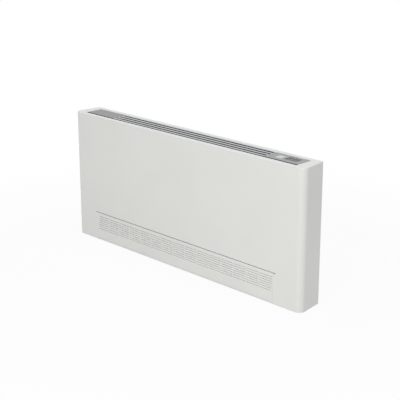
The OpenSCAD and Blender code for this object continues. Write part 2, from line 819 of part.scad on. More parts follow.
// Air guides: the curved wall behind the fan and the front wall with its tongue
module guide_arc(r, a0, a1) {
    intersection() {
        difference() {
            circle(r = r + guide_t);
            circle(r = r);
        }
        polygon(concat([[0, 0]], [for (k = [0 : 6]) let (a = a0 + (a1 - a0) * k / 6) 3 * r * [cos(a), sin(a)]]));
    }
}
module rear_guide() {
    r = fan_r + guide_gap;
    color([0.7, 0.72, 0.73]) along_x(-bulk_x, bulk_x) {
        translate([fan_y, fan_z]) guide_arc(r, rear_guide_angle, 0);
        translate([fan_y + r, fan_z]) square([guide_t, seat_z - ledge_t - fan_z]);
    }
}
module front_guide() {
    r = fan_r + tongue_gap;
    foot_z = coil_z + coil_l / 2 * cos(coil_a) + coil_t / 2;
    color([0.7, 0.72, 0.73]) along_x(-bulk_x, bulk_x) {
        translate([fan_y, fan_z]) guide_arc(r, tongue_angles[0], tongue_angles[1]);
        translate([fan_y, fan_z]) rotate([0, 0, tongue_angles[0]]) translate([r, -guide_t / 2]) square([tongue_l, guide_t]);
        translate([front_wall_y, foot_z]) square([guide_t, seat_z - ledge_t - foot_z]);
    }
}
front_wall_y = fan_y + (fan_r + tongue_gap + tongue_l) * cos(tongue_angles[0]) + guide_t;

// Left bearing in its rubber ring
module fan_bearing() {
    color([0.6, 0.6, 0.62]) translate([0, fan_y, fan_z]) difference() {
        rod_x(-bulk_x - sheet - bearing_l + fit, -bulk_x + sheet, bearing_r);
        rod_x(-bulk_x - 2 * bearing_l, 0, shaft_r + running);
    }
}
module bearing_rubber() {
    color([0.12, 0.12, 0.12]) translate([0, fan_y, fan_z]) difference() {
        union() {
            rod_x(-bulk_x - sheet, -bulk_x, bearing_r + rubber_t);
            rod_x(-bulk_x - bearing_l, -bulk_x - sheet, bearing_r + rubber_t + ledge_t);
        }
        rod_x(-bulk_x - 2 * bearing_l, 0, bearing_r);
    }
}

// Motor with a front boss held in a rubber ring on a bracket with three posts
motor_x = bulk_x + sheet + post_l + bracket_t + boss_l;
module fan_motor() {
    color([0.35, 0.36, 0.38]) translate([0, fan_y, fan_z]) difference() {
        union() {
            rod_x(motor_x, motor_x + motor_l, motor_r);
            rod_x(motor_x - boss_l - bracket_t, motor_x, boss_r);
            rod_x(motor_x + motor_l, motor_x + motor_l + 2 * disc_t, hub_r);
        }
        rod_x(motor_x - 2 * boss_l, motor_x + motor_l + overrun * 2, shaft_r + running);
    }
}
module motor_rubber() {
    color([0.12, 0.12, 0.12]) translate([0, fan_y, fan_z]) difference() {
        union() {
            rod_x(motor_x - boss_l - bracket_t, motor_x - boss_l, boss_r + rubber_t);
            rod_x(motor_x - boss_l, motor_x, boss_r + rubber_t + ledge_t);
        }
        rod_x(motor_x - 2 * boss_l, motor_x + overrun, boss_r);
    }
}
module motor_bracket() {
    plate_x = motor_x - boss_l - bracket_t;
    color([0.7, 0.72, 0.73]) translate([0, fan_y, fan_z]) difference() {
        union() {
            rod_x(plate_x, plate_x + bracket_t, boss_r + 3 * rubber_t);
            for (a = [90, 210, 330]) rotate([a, 0, 0]) {
                span([plate_x, 0, -2 * post_r], [plate_x + bracket_t, post_reach, 2 * post_r]);
                translate([0, post_reach, 0]) {
                    rod_x(plate_x, plate_x + bracket_t, 2 * post_r);
                    rod_x(bulk_x + sheet, plate_x, post_r);
                }
            }
        }
        rod_x(plate_x - overrun, plate_x + overrun, boss_r + rubber_t);
    }
}

// Electrical box on the wall frame, its lid, screws and terminal block
module lid_screw_places() {
    for (x = [lid_boss_r, box_w - lid_boss_r], z = [lid_boss_r, box_h - lid_boss_r])
        translate([box_x + x, wall - sheet - box_d, box_z + z]) rotate([-90, 0, 0]) children();
}
module electrical_box() {
    color([0.85, 0.85, 0.84]) difference() {
        union() {
            difference() {
                span([box_x, wall - sheet - box_d, box_z], [box_x + box_w, wall - sheet, box_z + box_h]);
                span([box_x + box_t, wall - sheet - box_d - overrun, box_z + box_t],
                    [box_x + box_w - box_t, wall - sheet - box_t, box_z + box_h - box_t]);
            }
            lid_screw_places() cylinder(r = lid_boss_r, h = box_d);
        }
        lid_screw_places() cylinder(r = lid_screw_r + running, h = box_d / 2);
        translate([box_x + box_w / 2, wall - sheet - box_d / 2, box_z]) cylinder(r = grommet_bore * 1.5, h = 2 * overrun, center = true);
    }
}
module electrical_lid() {
    y0 = wall - sheet - box_d;
    color([0.82, 0.82, 0.81]) difference() {
        span([box_x, y0 - box_t, box_z], [box_x + box_w, y0, box_z + box_h]);
        lid_screw_places() cylinder(r = lid_screw_r + running, h = 4 * box_t, center = true);
    }
}
module lid_screws() {
    color([0.7, 0.7, 0.72]) lid_screw_places() translate([0, 0, -box_t]) {
        cylinder(r = lid_screw_r, h = box_d / 2);
        translate([0, 0, -box_t]) cylinder(r = lid_head_r, h = box_t);
    }
}
module terminal_block() {
    ways = 6;
    way_w = 9;
    color([0.9, 0.9, 0.85]) translate([box_x + (box_w - ways * way_w) / 2, wall - sheet - box_t, box_z + box_h / 4]) difference() {
        span([0, -2 * way_w, 0], [ways * way_w, 0, 2 * way_w]);
        for (i = [0 : ways - 1]) translate([(i + 0.5) * way_w, -2 * way_w, way_w]) rotate([90, 0, 0])
            cylinder(r = way_w / 4, h = way_w, center = true);
    }
}

// Rubber grommet for the supply cable in the wall frame
grommet_in = 5;
grommet_below = 45;
grommet_x = box_x + box_w / 2 - grommet_in;
grommet_z = box_z - grommet_below;
grommet_r = 11;
grommet_bore = 4.5;
grommet_flange = 4;
module cable_grommet() {
    color([0.1, 0.1, 0.1]) translate([grommet_x, wall, grommet_z]) rotate([90, 0, 0]) difference() {
        union() {
            cylinder(r = grommet_r, h = sheet);
            translate([0, 0, sheet]) cylinder(r = grommet_r + grommet_flange, h = grommet_flange);
        }
        translate([0, 0, -overrun]) cylinder(r = grommet_bore, h = 4 * overrun);
    }
}

front_cover();
hinge_brackets();
side_panel_left();
side_panel_right();
top_surround();
back_panel();
pipe_plate();
frame_rails();
bulkhead_left();
bulkhead_right();
left_top_plate();
control_plate();
gap_seal();
display_window();
keypad_frame();
key_minus();
key_plus();
key_power();
key_mode();
key_fan();
key_timer();
circuit_board();
outlet_bars();
outlet_ends();
outlet_tie_rods();
intake_grille();
magnet_catches();
filter_frame();
filter_mesh();
coil_fins();
coil_end_plates();
coil_tubes();
flow_pipe();
return_pipe();
air_vent();
drain_cock();
condensate_tray();
drain_spout();
crossflow_fan();
motor_shaft();
rear_guide();
front_guide();
fan_bearing();
bearing_rubber();
fan_motor();
motor_rubber();
motor_bracket();
electrical_box();
electrical_lid();
terminal_block();
cable_grommet();
frame_screws();
lid_screws();
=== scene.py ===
import math
import bmesh
import bpy
from mathutils import Matrix, Vector


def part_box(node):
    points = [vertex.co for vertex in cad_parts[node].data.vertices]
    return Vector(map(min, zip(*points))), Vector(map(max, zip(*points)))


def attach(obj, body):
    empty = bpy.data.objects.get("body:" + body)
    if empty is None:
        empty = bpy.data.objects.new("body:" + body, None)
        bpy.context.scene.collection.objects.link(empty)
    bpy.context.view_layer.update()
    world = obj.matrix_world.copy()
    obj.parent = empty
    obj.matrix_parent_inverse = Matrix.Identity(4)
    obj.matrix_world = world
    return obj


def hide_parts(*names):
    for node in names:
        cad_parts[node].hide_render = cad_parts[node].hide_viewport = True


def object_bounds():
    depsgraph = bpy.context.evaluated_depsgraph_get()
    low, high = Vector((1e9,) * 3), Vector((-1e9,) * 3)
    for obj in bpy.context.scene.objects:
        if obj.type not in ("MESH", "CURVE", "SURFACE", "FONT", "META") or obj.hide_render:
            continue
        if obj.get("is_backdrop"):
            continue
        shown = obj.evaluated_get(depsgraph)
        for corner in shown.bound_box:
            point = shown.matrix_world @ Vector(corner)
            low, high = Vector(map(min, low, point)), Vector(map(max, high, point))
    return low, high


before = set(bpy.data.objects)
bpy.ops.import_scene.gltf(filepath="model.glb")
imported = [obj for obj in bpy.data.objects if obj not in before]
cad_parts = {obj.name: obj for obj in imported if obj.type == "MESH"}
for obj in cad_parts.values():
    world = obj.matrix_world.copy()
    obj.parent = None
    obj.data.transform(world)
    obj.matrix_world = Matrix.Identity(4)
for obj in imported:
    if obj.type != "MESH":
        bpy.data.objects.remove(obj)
cad_low, cad_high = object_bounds()

# Front cover: one flat sheet of thin steel between the rolled sides, powder coated white and hung on the surround
# and the side tabs. Its foot is cut out for the intake grille, with a short relief cut past each end of the joint
# above the grille, and the edge over the joint and the two feet are folded in.
cover_low, cover_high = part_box("front_cover")
front = cover_low.y
case_top = cover_high.z
corner_r = 0.026
corner_x = cad_high.x - corner_r
sheet = 0.0012
sheet_edge = 0.0003
cut_x = 0.5289
cut_z = 0.1314
joint = 0.0026
relief_cut = 0.012
cover_fold = 0.008
seam = 0.00012
near = 1e-5
paint_white = (0.80, 0.80, 0.775, 1)
# The next colour is painted along the paint's edges as a highlight.
paint_edge_highlight = (0.86, 0.86, 0.84, 1)
paint_peel_depth = 0.0002
smooth_angle = math.radians(35)


def leave_edit():
    """Goes back to object mode."""
    if bpy.context.object and bpy.context.object.mode == "EDIT":
        bpy.ops.object.mode_set(mode="OBJECT")


def take_up(piece):
    """Makes a piece the active one, in object mode."""
    leave_edit()
    bpy.context.view_layer.objects.active = piece


def new_piece(name, add, scale=(1, 1, 1), **place):
    """Adds a primitive with nothing else selected, puts its place into its mesh, and names it."""
    leave_edit()
    bpy.ops.object.select_all(action="DESELECT")
    add(**place)
    piece = bpy.context.object
    piece.scale = scale
    bpy.ops.object.transform_apply(location=True, rotation=True, scale=True)
    piece.name = piece.data.name = name
    return piece


def new_sheet(name, middle, width, height, turn=0):
    """A flat upright sheet that faces the front unless it is turned."""
    return new_piece(name, bpy.ops.mesh.primitive_plane_add, size=1, location=middle,
                     rotation=(math.pi / 2, 0, turn), scale=(width, height, 1))


def pick(piece, kind, where=lambda corner: True, only=lambda item: True):
    """In edit mode, chooses only the faces, edges or corners whose every corner passes the test."""
    if piece.mode != "EDIT":
        take_up(piece)
        bpy.ops.object.mode_set(mode="EDIT")
    bpy.ops.mesh.select_mode(type=kind)
    bpy.ops.mesh.select_all(action="DESELECT")
    mesh = bmesh.from_edit_mesh(piece.data)
    for item in {"VERT": mesh.verts, "EDGE": mesh.edges, "FACE": mesh.faces}[kind]:
        corners = [item] if kind == "VERT" else item.verts
        item.select_set(all(where(v.co) for v in corners) and only(item))
    mesh.select_flush_mode()
    bmesh.update_edit_mesh(piece.data)


def pull(x, y, z):
    """Extrudes what is chosen by a distance."""
    bpy.ops.mesh.extrude_region_move(TRANSFORM_OT_translate={"value": (x, y, z)})


def slice_at(piece, point, normal, **clear):
    """Cuts the whole mesh along a plane, and can clear one side of it."""
    pick(piece, "VERT")
    bpy.ops.mesh.bisect(plane_co=point, plane_no=normal, **clear)


def modify(piece, kind, **settings):
    """Adds a modifier with its settings, and applies it."""
    take_up(piece)
    modifier = piece.modifiers.new(kind.lower(), kind)
    for name, value in settings.items():
        setattr(modifier, name, value)
    bpy.ops.object.modifier_apply(modifier=modifier.name)


def thicken(piece, thickness, offset=-1):
    """Gives a bare surface the thickness of its sheet, inwards unless told otherwise."""
    modify(piece, "SOLIDIFY", thickness=thickness, offset=offset, use_even_offset=True)


def soften(piece, width, segments=2, angle=40):
    """Rounds the edges that turn by more than an angle, by a small width."""
    modify(piece, "BEVEL", width=width, segments=segments, limit_method="ANGLE", angle_limit=math.radians(angle))


cover = new_sheet("front_cover_sheet", (0, front, case_top / 2), 2 * (corner_x - seam), case_top)
for x in (-cut_x, -cut_x - relief_cut, cut_x, cut_x + relief_cut):
    slice_at(cover, (x, 0, 0), (1, 0, 0))
for z in (cut_z, cut_z - joint):
    slice_at(cover, (0, 0, z), (0, 0, 1))
pick(cover, "FACE", lambda p: abs(p.x) < cut_x + near and p.z < cut_z + near)
bpy.ops.mesh.delete(type="FACE")
pick(cover, "FACE", lambda p: abs(p.x) < cut_x + relief_cut + near and cut_z - joint - near < p.z < cut_z + near)
bpy.ops.mesh.delete(type="FACE")
pick(cover, "EDGE", lambda p: abs(p.z - cut_z) < near and abs(p.x) < cut_x + relief_cut + near)
pull(0, cover_fold, 0)
for side in (1, -1):
    pick(cover, "EDGE", lambda p: p.z < near and side * p.x > 0)
    pull(0, cover_fold, 0)
thicken(cover, sheet)
soften(cover, sheet_edge)


def fill(tree, made, sockets):
    """Sets or links a node's sockets, each named, or counted as in i0."""
    for name, value in sockets.items():
        key = int(name[1:]) if name[1:].isdigit() else name.replace("_", " ")
        if isinstance(value, bpy.types.NodeSocket):
            tree.links.new(value, made.inputs[key])
        else:
            made.inputs[key].default_value = value
    return made


def node(tree, kind, settings=None, **sockets):
    """A node with its settings, its socket values and its links."""
    made = tree.nodes.new("ShaderNode" + kind)
    for name, value in (settings or {}).items():
        setattr(made, name, value)
    return fill(tree, made, sockets)


def reckon(tree, operation, first, second, clamp=False):
    """The result of a sum, a product or the like."""
    return node(tree, "Math", {"operation": operation, "use_clamp": clamp}, i0=first, i1=second).outputs[0]


def spread(tree, value, low, high, from_low=0.3, from_high=0.7):
    """Maps a noise value to a range."""
    return node(tree, "MapRange", None, Value=value, From_Min=from_low, From_Max=from_high,
                To_Min=low, To_Max=high).outputs[0]


def noise(tree, place, scale, detail=2.0, roughness=0.5):
    """Noise over a place, from 0 to 1."""
    return node(tree, "TexNoise", None, Vector=place, Scale=scale, Detail=detail, Roughness=roughness).outputs[0]


def tint(tree, colour, value, amount):
    """A colour that a noise value makes darker and lighter by an amount."""
    shade = spread(tree, value, reckon(tree, "SUBTRACT", 1.0, amount), reckon(tree, "ADD", 1.0, amount))
    return scale_colour(tree, colour, shade)


def scale_colour(tree, colour, shade):
    """A colour times a factor."""
    return node(tree, "VectorMath", {"operation": "SCALE"}, i0=colour, Scale=shade).outputs[0]


def mix_colours(tree, share, first, second):
    """From the first colour to the second by a share."""
    return node(tree, "Mix", {"data_type": "RGBA"}, i0=share, i6=first, i7=second).outputs[2]


def new_group(name, outputs, **inputs):
    """A shader node group with named sockets. An input is a vector without a value, a colour with four numbers."""
    group = bpy.data.node_groups.new(name, "ShaderNodeTree")
    for title, value in inputs.items():
        kind = "Vector" if value is None else "Color" if isinstance(value, tuple) else "Float"
        socket = group.interface.new_socket(title, in_out="INPUT", socket_type="NodeSocket" + kind)
        if value is not None:
            socket.default_value = value
    for title in outputs:
        kind = "Color" if title == "Colour" else "Float"
        group.interface.new_socket(title, in_out="OUTPUT", socket_type="NodeSocket" + kind)
    return group, group.nodes.new("NodeGroupInput").outputs


def put_out(group, **values):
    """Links the values that a node group gives."""
    fill(group, group.nodes.new("NodeGroupOutput"), values)


# Film of paint: slow drift of the colour, a fine orange peel, and a roughness that wanders a little
skin_outputs = ("Colour", "Roughness", "Height")
paint_film, given = new_group("paint_film", skin_outputs, Vector=None, Colour=(0.8, 0.8, 0.8, 1),
                              Drift=0.02, Roughness=0.4)
slow = noise(paint_film, given["Vector"], 3.1, 3.0, 0.55)
peel = noise(paint_film, given["Vector"], 520.0, 2.0, 0.45)
specks = noise(paint_film, given["Vector"], 60.0, 4.0, 0.6)
rub = reckon(paint_film, "ADD", spread(paint_film, specks, -0.05, 0.05), given["Roughness"])
put_out(paint_film, Colour=tint(paint_film, given["Colour"], slow, given["Drift"]), Roughness=rub, Height=peel)

# Painted edge highlight: a mask that is strong where a surface turns over an edge, for a lighter colour painted there
# as a highlight
painted_edge_highlight, given = new_group("painted_edge_highlight", ("Mask",), Radius=0.001, Sharpness=4.0)
rounded = node(painted_edge_highlight, "Bevel", {"samples": 4}, Radius=given["Radius"]).outputs[0]
flat = node(painted_edge_highlight, "NewGeometry").outputs["Normal"]
turned = node(painted_edge_highlight, "VectorMath", {"operation": "DOT_PRODUCT"}, i0=rounded, i1=flat).outputs["Value"]
away = reckon(painted_edge_highlight, "SUBTRACT", 1.0, turned)
put_out(painted_edge_highlight, Mask=reckon(painted_edge_highlight, "MULTIPLY", away, given["Sharpness"], clamp=True))


def bare_tree(owner):
    """The emptied node tree of a material or a world."""
    owner.use_nodes = True
    owner.node_tree.nodes.clear()
    return owner.node_tree


def new_material(name, roughness=0.5, metallic=0.0, **sockets):
    """A material with a Principled BSDF, its constants on its own sockets, and the piece's own coordinates."""
    material = bpy.data.materials.new(name)
    tree = bare_tree(material)
    shader = node(tree, "BsdfPrincipled", None, Roughness=roughness, Metallic=metallic, **sockets)
    node(tree, "OutputMaterial", None, Surface=shader.outputs[0])
    return material, tree, shader, node(tree, "TexCoord").outputs["Object"]


def use_group(tree, group, **sockets):
    """Places a node group in a material with its own values."""
    made = tree.nodes.new("ShaderNodeGroup")
    made.node_tree = group
    return fill(tree, made, sockets).outputs


def emboss(tree, shader, height, strength, distance):
    """Feeds a height to the shader's normal through a Bump node."""
    bump = node(tree, "Bump", None, Height=height, Strength=strength, Distance=distance)
    fill(tree, shader, {"Normal": bump.outputs[0]})


def clothe(tree, shader, skin, strength, distance, highlight_colour=None, radius=0.0, sharpness=0.0):
    """Feeds a skin's colour, roughness and height to the shader, with a lighter colour painted along its edges as a
    highlight if one is given.
    """
    shown = skin["Colour"]
    if highlight_colour:
        edge = use_group(tree, painted_edge_highlight, Radius=radius, Sharpness=sharpness)
        shown = mix_colours(tree, edge["Mask"], shown, highlight_colour)
    fill(tree, shader, {"Base Color": shown, "Roughness": skin["Roughness"]})
    emboss(tree, shader, skin["Height"], strength, distance)


def painted(name, colour, roughness, drift, peel, highlight_colour):
    """Powder coat: the film, with a painted highlight, a lighter line along its edges."""
    material, tree, shader, place = new_material(name, Coat_Weight=0.12, Coat_Roughness=0.25,
                                                 Specular_IOR_Level=0.45)
    film = use_group(tree, paint_film, Vector=place, Colour=colour, Drift=drift, Roughness=roughness)
    clothe(tree, shader, film, peel, paint_peel_depth, highlight_colour, 0.0012, 3.0)
    return material


def hand_over(piece, material, body, slot, *nodes):
    """Shades the finished piece, gives it its material, hangs it on the body it rides on, and hides the CAD nodes it
    stands for.
    """
    take_up(piece)
    bpy.ops.object.select_all(action="DESELECT")
    piece.select_set(True)
    bpy.ops.object.shade_smooth_by_angle(angle=smooth_angle)
    modify(piece, "WEIGHTED_NORMAL", keep_sharp=True)
    piece.data.materials.clear()
    piece.data.materials.append(material)
    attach(piece, body)
    if nodes:
        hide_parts(*nodes)


casing_paint = painted("casing_paint", paint_white, 0.42, 0.018, 0.25, paint_edge_highlight)
hand_over(cover, casing_paint, "cabinet", "white_paint", "front_cover")

# Joint foam: a strip of black foam rubber glued behind the cover's edge, so that the intake grille closes on it
# without a rattle, with a small pad that fills each relief cut.
foam_past = 0.001
foam_y0 = front + 0.0025
foam_y1 = front + 0.0078
foam_z0 = cut_z - sheet - 0.0011
foam_z1 = cut_z - sheet - 0.00005
pad_gap = 0.0001
pad_y0 = front + 0.0005
pad_y1 = front + sheet - 0.00002
foam_edge = 0.0002
foam_black = (0.018, 0.018, 0.019, 1)
grain_depth = 0.0001


def new_box(name, low, high):
    """A box from its lowest to its highest corner."""
    low, high = Vector(low), Vector(high)
    return new_piece(name, bpy.ops.mesh.primitive_cube_add, size=1, location=(low + high) / 2, scale=high - low)


def add_to(piece, extra):
    """Joins another mesh to the piece."""
    take_up(piece)
    bpy.ops.object.select_all(action="DESELECT")
    extra.select_set(True)
    piece.select_set(True)
    bpy.ops.object.join()


foam = new_box("joint_foam", (-cut_x - relief_cut - foam_past, foam_y0, foam_z0),
               (cut_x + relief_cut + foam_past, foam_y1, foam_z1))
for side in (1, -1):
    x0, x1 = sorted((side * (cut_x + pad_gap), side * (cut_x + relief_cut - pad_gap)))
    add_to(foam, new_box("pad", (x0, pad_y0, cut_z - joint + pad_gap), (x1, pad_y1, cut_z - pad_gap)))
soften(foam, foam_edge)

# Moulded skin: a fine spark-eroded grain, with a slight drift of colour and polish
moulded_skin, given = new_group("moulded_skin", skin_outputs, Vector=None, Colour=(0.5, 0.5, 0.5, 1),
                                Grain=1400.0, Roughness=0.5)
grain = noise(moulded_skin, given["Vector"], given["Grain"])
drift = noise(moulded_skin, given["Vector"], 9.0, 3.0)
shade = spread(moulded_skin, drift, 0.97, 1.03)
rub = reckon(moulded_skin, "ADD", spread(moulded_skin, drift, -0.04, 0.05), given["Roughness"])
put_out(moulded_skin, Colour=scale_colour(moulded_skin, given["Colour"], shade), Roughness=rub, Height=grain)


def moulded(name, colour, roughness, grain=1400.0, strength=0.3, highlight_colour=None, **sockets):
    """Moulded plastic or rubber with its grain, and a lighter colour painted along its edges as a highlight where one
    is given.
    """
    material, tree, shader, place = new_material(name, **sockets)
    skin = use_group(tree, moulded_skin, Vector=place, Colour=colour, Grain=grain, Roughness=roughness)
    clothe(tree, shader, skin, strength, grain_depth, highlight_colour, 0.0008, 2.5)
    return material


black_rubber_and_gap_shade = moulded("black_rubber_and_gap_shade", foam_black, 0.8, 900.0, 0.5, Specular_IOR_Level=0.15)
hand_over(foam, black_rubber_and_gap_shade, "cabinet", "rubber")

# Side panels: one sheet of the same steel on each side, rolled round the upright front corner, leaning in toward
# the wall and folded once at the wall. A tab behind the front cover leaves a hairline joint between the two.
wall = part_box("back_panel")[1].y
corner_y = front + corner_r
side_step = 0.018
side_lean = math.atan2(side_step, wall - front)
side_start = corner_x - 0.0001
side_return = 0.012
side_wall_gap = 0.0002
roll_steps = 20


def rolled_side(name, z0, z1, side, start_x):
    """A bare sheet along the casing's outline: flat front from start_x, rolled corner, leaning side to the wall."""
    piece = new_sheet(name, (side * (start_x + corner_x) / 2, front, (z0 + z1) / 2), corner_x - start_x, z1 - z0)
    reach = wall - corner_y - corner_r * math.sin(side_lean)
    pick(piece, "EDGE", lambda p: p.x * side > corner_x - near)
    bpy.ops.mesh.spin(steps=roll_steps, angle=side * (math.pi / 2 + side_lean),
                      center=(side * corner_x, corner_y, 0), axis=(0, 0, -1))
    pull(-side * reach * math.tan(side_lean), reach, 0)
    return piece


for side, name in ((1, "side_panel_right"), (-1, "side_panel_left")):
    panel = rolled_side(name + "_sheet", 0, case_top, side, side_start)
    pick(panel, "EDGE", lambda p: p.y > wall - near)
    bpy.ops.transform.translate(value=(0, -sheet - side_wall_gap, 0))
    pull(-side * side_return, 0, 0)
    thicken(panel, sheet)
    soften(panel, sheet_edge)
    hand_over(panel, casing_paint, "cabinet", "white_paint", name)

# Top surround: a pale frame moulded round the long recess, rounded over at its outer edge, with a skirt
# and a ledge below that the two plates and the outlet grille sit on.
surround_low, surround_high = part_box("top_surround")
recess_x = 0.6155
recess_y0 = front + 0.0195
plate_y0 = recess_y0 + 0.011
recess_y1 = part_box("control_plate")[1].y + 0.0003
rim = 0.002
ledge = 0.006
seat_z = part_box("control_plate")[0].z
top_z = surround_high.z
edge_r = 0.0024
recess_round = 0.0015
skirt_top = case_top + 0.0004
below_seat = seat_z - 0.01
above_top = top_z + 0.01
surround_white = (0.80, 0.80, 0.785, 1)
# The next colour is painted along the surround's edges as a highlight.
surround_edge_highlight = (0.84, 0.84, 0.82, 1)


def round_off(width, segments):
    """Bevels the chosen edges."""
    bpy.ops.mesh.bevel(offset=width, segments=segments, affect="EDGES")


def round_uprights(piece, width, segments=4):
    """Rounds a box's four upright edges."""
    pick(piece, "EDGE", only=lambda edge: abs(edge.verts[0].co.z - edge.verts[1].co.z) > near)
    round_off(width, segments)


def carve(piece, low, high, round_by=0.0, kind="DIFFERENCE"):
    """Cuts a box out of the piece, or adds one to it, with the box's upright edges rounded."""
    tool = new_box("tool", low, high)
    if round_by:
        round_uprights(tool, round_by)
    modify(piece, "BOOLEAN", object=tool, operation=kind, solver="EXACT")
    bpy.data.meshes.remove(tool.data)


surround = rolled_side("top_surround_frame", case_top, top_z, 1, 0)
modify(surround, "MIRROR", use_axis=(True, False, False), merge_threshold=near)
pick(surround, "EDGE", lambda p: p.y > wall - near)
bpy.ops.mesh.edge_face_add()
for z in (case_top, top_z):
    pick(surround, "EDGE", lambda p: abs(p.z - z) < near)
    bpy.ops.mesh.edge_face_add()
pick(surround, "FACE")
bpy.ops.mesh.normals_make_consistent(inside=False)
pick(surround, "EDGE", lambda p: p.z > top_z - near, lambda edge: not all(v.co.y > wall - near for v in edge.verts))
round_off(edge_r, 6)
carve(surround, (-recess_x - rim, recess_y0 - rim, surround_low.z), (recess_x + rim, recess_y1 + rim, skirt_top),
      kind="UNION")
carve(surround, (-recess_x, recess_y0, seat_z), (recess_x, recess_y1, above_top), recess_round)
carve(surround, (-recess_x + ledge, recess_y0, below_seat), (recess_x - ledge, recess_y1 - ledge, above_top))
carve(surround, (-recess_x, recess_y0, below_seat), (recess_x, plate_y0, above_top), recess_round)
soften(surround, 0.0004, 3, 50)
surround_paint = painted("surround_paint", surround_white, 0.55, 0.012, 0.15, surround_edge_highlight)
hand_over(surround, surround_paint, "cabinet", "white_paint", "top_surround")

# Intake grille: a pressed panel hung on two pins at its foot. Each slot is punched and its edge turned in,
# and a blade behind each row rises toward the inside, so that nothing dark is seen from above.
grille_low, grille_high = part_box("intake_grille")
panel_x = 0.5285
panel_z0 = grille_low.z
panel_z1 = grille_high.z
panel_skin = 0.0012
panel_fold = 0.010
panel_round = 0.0022
slot_rows = 7
slot_cols = 15
slot_pitch = 0.0097
slot_h = 0.0046
slot_web = 0.0022
slot_round = slot_h * 0.42
slot_z0 = 0.0527
field_x = panel_x - 0.003
slot_col = 2 * field_x / slot_cols
slot_x0 = -field_x + slot_col / 2
lip_depth = 0.0022
lip_left = 0.50
lip_narrow = 0.985
lip_z = slot_z0 + slot_h / 2 - 0.0002
lip_end = 0.0008
blade_rise = math.radians(30)
blade_t = 0.0008
blade_d = 0.0050
blade_y = front + 0.0045
blade_z = slot_z0 + slot_h / 2 - 0.0011 - slot_h * lip_left
rib_t = 0.0012
rib_y0 = front + 0.0013
rib_y1 = front + 0.0098
channel_y = front + 0.011
channel_d = 0.0218
channel_lip = 0.012
pin_r = 0.00245
pin_l = 0.0045
pin_x = panel_x + 0.0014
hinge_y = front + 0.004
hinge_z = panel_z0 + 0.006


def resize(centre, x, y, z):
    """Stretches what is chosen about a point."""
    bpy.ops.transform.resize(value=(x, y, z), center_override=centre)


def turn_all(piece, angle, axis, centre):
    """Turns the whole mesh about a point."""
    pick(piece, "VERT")
    bpy.ops.transform.rotate(value=angle, orient_axis=axis, center_override=centre)


panel = new_sheet("intake_grille_panel", (slot_x0, front, slot_z0), slot_col, slot_pitch)
pick(panel, "FACE")
bpy.ops.mesh.inset(thickness=(slot_pitch - slot_h) / 2)
resize((slot_x0, front, slot_z0), (slot_col - slot_web) / (slot_col - slot_pitch + slot_h), 1, 1)
bpy.ops.mesh.select_mode(type="VERT")
bpy.ops.mesh.bevel(offset=slot_round, segments=3, affect="VERTICES")
pick(panel, "FACE", lambda p: abs(p.x - slot_x0) < (slot_col - slot_web) / 2 + near
     and abs(p.z - slot_z0) < slot_h / 2 + near)
pull(0, lip_depth, 0)
resize((slot_x0, front, lip_z), lip_narrow, 1, lip_left)
pull(0, lip_end, 0)
bpy.ops.mesh.delete(type="FACE")
for count, step in ((slot_cols, (slot_col, 0, 0)), (slot_rows, (0, 0, slot_pitch))):
    modify(panel, "ARRAY", count=count, use_relative_offset=False, use_constant_offset=True,
           constant_offset_displace=step, use_merge_vertices=True, merge_threshold=near)
field_z0 = slot_z0 - slot_pitch / 2
field_z1 = field_z0 + slot_rows * slot_pitch
for z, edge in ((field_z0, panel_z0), (field_z1, panel_z1)):
    pick(panel, "EDGE", lambda p: abs(p.z - z) < near and p.y < front + near)
    pull(0, 0, edge - z)
for side in (1, -1):
    pick(panel, "EDGE", lambda p: abs(p.x - side * field_x) < near)
    pull(side * (panel_x - field_x), 0, 0)
pick(panel, "EDGE", lambda p: p.z > panel_z1 - near or p.z < panel_z0 + near, lambda edge: edge.is_boundary)
pull(0, panel_fold, 0)
pick(panel, "EDGE", lambda p: p.z > panel_z1 - near and p.y < front + near)
round_off(panel_round, 4)
thicken(panel, panel_skin)
soften(panel, sheet_edge, 2, 50)
for row in range(slot_rows):
    blade = new_box("blade", (-field_x, 0, -blade_t), (field_x, blade_d / math.cos(blade_rise), 0))
    turn_all(blade, -blade_rise, "X", (0, 0, 0))
    bpy.ops.transform.translate(value=(0, blade_y, blade_z + row * slot_pitch))
    soften(blade, 0.0002)
    add_to(panel, blade)
for column in range(slot_cols + 1):
    x = -field_x + column * slot_col
    add_to(panel, new_box("rib", (x - rib_t / 2, rib_y0, panel_z0 + panel_skin),
                          (x + rib_t / 2, rib_y1, panel_z1 - panel_skin)))
for side in (1, -1):
    channel = new_sheet("channel", (side * panel_x, channel_y, (panel_z0 + panel_z1) / 2), channel_d,
                        panel_z1 - panel_z0, math.pi / 2)
    pick(channel, "EDGE", lambda p: p.y > channel_y)
    pull(-side * channel_lip, 0, 0)
    pick(channel, "FACE")
    bpy.ops.mesh.normals_make_consistent(inside=False)
    thicken(channel, panel_skin, -side)
    soften(channel, sheet_edge)
    add_to(panel, channel)
    pin = new_piece("pin", bpy.ops.mesh.primitive_cylinder_add, vertices=24, radius=pin_r, depth=pin_l,
                    location=(side * pin_x, hinge_y, hinge_z), rotation=(0, math.pi / 2, 0))
    soften(pin, 0.0005)
    add_to(panel, pin)
hand_over(panel, casing_paint, "intake_panel", "white_paint", "intake_grille")

# Outlet grille: three drawn aluminium bars and a narrow strip at the back, satin anodised, each a flat cap with a
# tapered underside on an upright web. The webs are coloured black as painted shade, so that the gaps between the bars
# read dark. Thin rods thread them and two end plates hold them.
bars_low, bars_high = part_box("outlet_bars")
bar_w = 0.0123
bar_pitch = 0.0233
bar_cap = 0.0022
bar_web = 0.0018
bar_taper = 0.0017
bar_z = bars_high.z
web_low = bars_low.z
web_x = 0.4272
strip_row = 3
strip_w = 0.00708
end_t = 0.0016
end_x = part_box("outlet_ends")[1].x
anodised_grey = (0.47, 0.485, 0.50, 1)
web_shade_black = (0.015, 0.015, 0.016, 1)
rod_grey = (0.55, 0.56, 0.57, 1)

